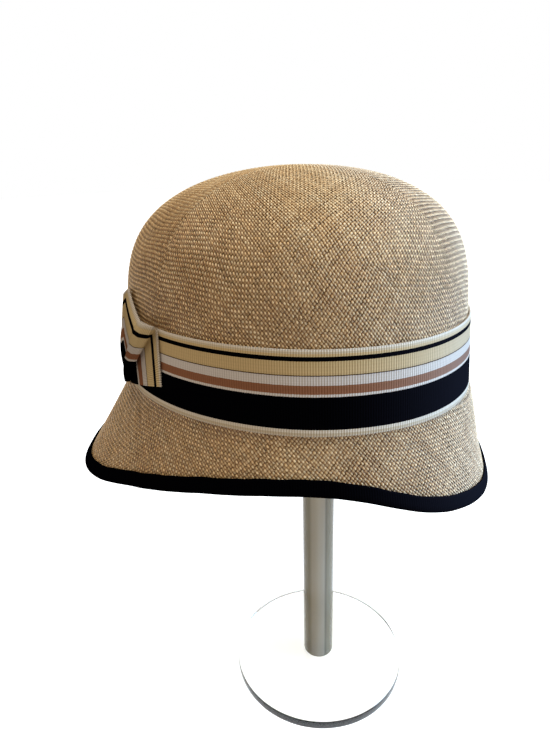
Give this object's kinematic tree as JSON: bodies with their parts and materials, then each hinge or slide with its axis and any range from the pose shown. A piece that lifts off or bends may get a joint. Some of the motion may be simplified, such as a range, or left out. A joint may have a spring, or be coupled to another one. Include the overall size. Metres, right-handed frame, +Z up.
{
  "type": "straw cloche hat on a clear display stand",
  "caption": "Woven straw cloche with a rounded crown, short sloping brim, striped ribbon band, pleated ribbon bow and bound edge, on a round clear stand.",
  "frame": {"origin": "middle of the stand's foot, on the surface that it stands on", "axes": "+Z up through the crown, -Y towards the front of the hat, -X towards the side with the bow"},
  "size_m": [0.2148, 0.2331, 0.3177],
  "materials": {
    "straw": "natural woven straw, slight sheen",
    "striped_ribbon": "ribbed ribbon in cream, white, rust and black stripes",
    "bow_striped_ribbon": "ribbed ribbon in cream, white, rust and black stripes",
    "black_ribbon": "fine ribbed black ribbon",
    "clear_acrylic": "clear, polished"
  },
  "bodies": {
    "root": {"crown_and_brim": "straw", "band_ribbon": "striped_ribbon", "bow_ribbon": "bow_striped_ribbon", "edge_binding": "black_ribbon", "stand_foot": "clear_acrylic", "stand_post": "clear_acrylic", "stand_rest": "clear_acrylic"}
  },
  "joints": []
}
